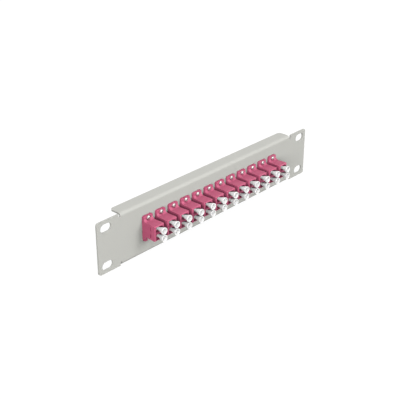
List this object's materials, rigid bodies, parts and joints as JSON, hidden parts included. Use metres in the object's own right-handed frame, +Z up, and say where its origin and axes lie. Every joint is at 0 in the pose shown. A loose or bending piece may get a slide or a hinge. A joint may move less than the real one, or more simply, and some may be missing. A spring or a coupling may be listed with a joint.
{
  "type": "fibre patch panel",
  "caption": "Folded sheet rack panel with a row of duplex fibre adapters, flange screws and pull-off dust caps.",
  "frame": {"origin": "centre of the four rack slots, on the rear face of the sheet that meets the rack", "axes": "+X along the panel to the right seen from the front, +Y back into the rack, +Z up"},
  "size_m": [0.254, 0.0376, 0.044],
  "materials": {
    "sheet": "light grey powder coat, fine texture, satin",
    "adapter": "heather violet moulded plastic, satin",
    "zirconia": "off white ceramic, polished",
    "plated_steel": "bright nickel plate",
    "cap": "milky white soft plastic, slightly translucent"
  },
  "bodies": {
    "panel_body": {"panel": "sheet", "front_housing_01": "adapter", "front_housing_02": "adapter", "front_housing_03": "adapter", "front_housing_04": "adapter", "front_housing_05": "adapter", "front_housing_06": "adapter", "front_housing_07": "adapter", "front_housing_08": "adapter", "front_housing_09": "adapter", "front_housing_10": "adapter", "front_housing_11": "adapter", "front_housing_12": "adapter", "rear_housing_01": "adapter", "rear_housing_02": "adapter", "rear_housing_03": "adapter", "rear_housing_04": "adapter", "rear_housing_05": "adapter", "rear_housing_06": "adapter", "rear_housing_07": "adapter", "rear_housing_08": "adapter", "rear_housing_09": "adapter", "rear_housing_10": "adapter", "rear_housing_11": "adapter", "rear_housing_12": "adapter", "alignment_sleeves": "zirconia", "flange_screws": "plated_steel", "flange_nuts": "plated_steel", "rear_dust_caps": "cap"},
    "front_cap_01_upper": {"front_cap_01_upper": "cap"},
    "front_cap_01_lower": {"front_cap_01_lower": "cap"},
    "front_cap_02_upper": {"front_cap_02_upper": "cap"},
    "front_cap_02_lower": {"front_cap_02_lower": "cap"},
    "front_cap_03_upper": {"front_cap_03_upper": "cap"},
    "front_cap_03_lower": {"front_cap_03_lower": "cap"},
    "front_cap_04_upper": {"front_cap_04_upper": "cap"},
    "front_cap_04_lower": {"front_cap_04_lower": "cap"},
    "front_cap_05_upper": {"front_cap_05_upper": "cap"},
    "front_cap_05_lower": {"front_cap_05_lower": "cap"},
    "front_cap_06_upper": {"front_cap_06_upper": "cap"},
    "front_cap_06_lower": {"front_cap_06_lower": "cap"},
    "front_cap_07_upper": {"front_cap_07_upper": "cap"},
    "front_cap_07_lower": {"front_cap_07_lower": "cap"},
    "front_cap_08_upper": {"front_cap_08_upper": "cap"},
    "front_cap_08_lower": {"front_cap_08_lower": "cap"},
    "front_cap_09_upper": {"front_cap_09_upper": "cap"},
    "front_cap_09_lower": {"front_cap_09_lower": "cap"},
    "front_cap_10_upper": {"front_cap_10_upper": "cap"},
    "front_cap_10_lower": {"front_cap_10_lower": "cap"},
    "front_cap_11_upper": {"front_cap_11_upper": "cap"},
    "front_cap_11_lower": {"front_cap_11_lower": "cap"},
    "front_cap_12_upper": {"front_cap_12_upper": "cap"},
    "front_cap_12_lower": {"front_cap_12_lower": "cap"}
  },
  "joints": [
    {"name": "pull_cap_01_upper", "type": "slide", "parent": "panel_body", "child": "front_cap_01_upper", "axis": [0, -1, 0], "range_m": [0, 0.012]},
    {"name": "pull_cap_01_lower", "type": "slide", "parent": "panel_body", "child": "front_cap_01_lower", "axis": [0, -1, 0], "range_m": [0, 0.012]},
    {"name": "pull_cap_02_upper", "type": "slide", "parent": "panel_body", "child": "front_cap_02_upper", "axis": [0, -1, 0], "range_m": [0, 0.012]},
    {"name": "pull_cap_02_lower", "type": "slide", "parent": "panel_body", "child": "front_cap_02_lower", "axis": [0, -1, 0], "range_m": [0, 0.012]},
    {"name": "pull_cap_03_upper", "type": "slide", "parent": "panel_body", "child": "front_cap_03_upper", "axis": [0, -1, 0], "range_m": [0, 0.012]},
    {"name": "pull_cap_03_lower", "type": "slide", "parent": "panel_body", "child": "front_cap_03_lower", "axis": [0, -1, 0], "range_m": [0, 0.012]},
    {"name": "pull_cap_04_upper", "type": "slide", "parent": "panel_body", "child": "front_cap_04_upper", "axis": [0, -1, 0], "range_m": [0, 0.012]},
    {"name": "pull_cap_04_lower", "type": "slide", "parent": "panel_body", "child": "front_cap_04_lower", "axis": [0, -1, 0], "range_m": [0, 0.012]},
    {"name": "pull_cap_05_upper", "type": "slide", "parent": "panel_body", "child": "front_cap_05_upper", "axis": [0, -1, 0], "range_m": [0, 0.012]},
    {"name": "pull_cap_05_lower", "type": "slide", "parent": "panel_body", "child": "front_cap_05_lower", "axis": [0, -1, 0], "range_m": [0, 0.012]},
    {"name": "pull_cap_06_upper", "type": "slide", "parent": "panel_body", "child": "front_cap_06_upper", "axis": [0, -1, 0], "range_m": [0, 0.012]},
    {"name": "pull_cap_06_lower", "type": "slide", "parent": "panel_body", "child": "front_cap_06_lower", "axis": [0, -1, 0], "range_m": [0, 0.012]},
    {"name": "pull_cap_07_upper", "type": "slide", "parent": "panel_body", "child": "front_cap_07_upper", "axis": [0, -1, 0], "range_m": [0, 0.012]},
    {"name": "pull_cap_07_lower", "type": "slide", "parent": "panel_body", "child": "front_cap_07_lower", "axis": [0, -1, 0], "range_m": [0, 0.012]},
    {"name": "pull_cap_08_upper", "type": "slide", "parent": "panel_body", "child": "front_cap_08_upper", "axis": [0, -1, 0], "range_m": [0, 0.012]},
    {"name": "pull_cap_08_lower", "type": "slide", "parent": "panel_body", "child": "front_cap_08_lower", "axis": [0, -1, 0], "range_m": [0, 0.012]},
    {"name": "pull_cap_09_upper", "type": "slide", "parent": "panel_body", "child": "front_cap_09_upper", "axis": [0, -1, 0], "range_m": [0, 0.012]},
    {"name": "pull_cap_09_lower", "type": "slide", "parent": "panel_body", "child": "front_cap_09_lower", "axis": [0, -1, 0], "range_m": [0, 0.012]},
    {"name": "pull_cap_10_upper", "type": "slide", "parent": "panel_body", "child": "front_cap_10_upper", "axis": [0, -1, 0], "range_m": [0, 0.012]},
    {"name": "pull_cap_10_lower", "type": "slide", "parent": "panel_body", "child": "front_cap_10_lower", "axis": [0, -1, 0], "range_m": [0, 0.012]},
    {"name": "pull_cap_11_upper", "type": "slide", "parent": "panel_body", "child": "front_cap_11_upper", "axis": [0, -1, 0], "range_m": [0, 0.012]},
    {"name": "pull_cap_11_lower", "type": "slide", "parent": "panel_body", "child": "front_cap_11_lower", "axis": [0, -1, 0], "range_m": [0, 0.012]},
    {"name": "pull_cap_12_upper", "type": "slide", "parent": "panel_body", "child": "front_cap_12_upper", "axis": [0, -1, 0], "range_m": [0, 0.012]},
    {"name": "pull_cap_12_lower", "type": "slide", "parent": "panel_body", "child": "front_cap_12_lower", "axis": [0, -1, 0], "range_m": [0, 0.012]}
  ]
}
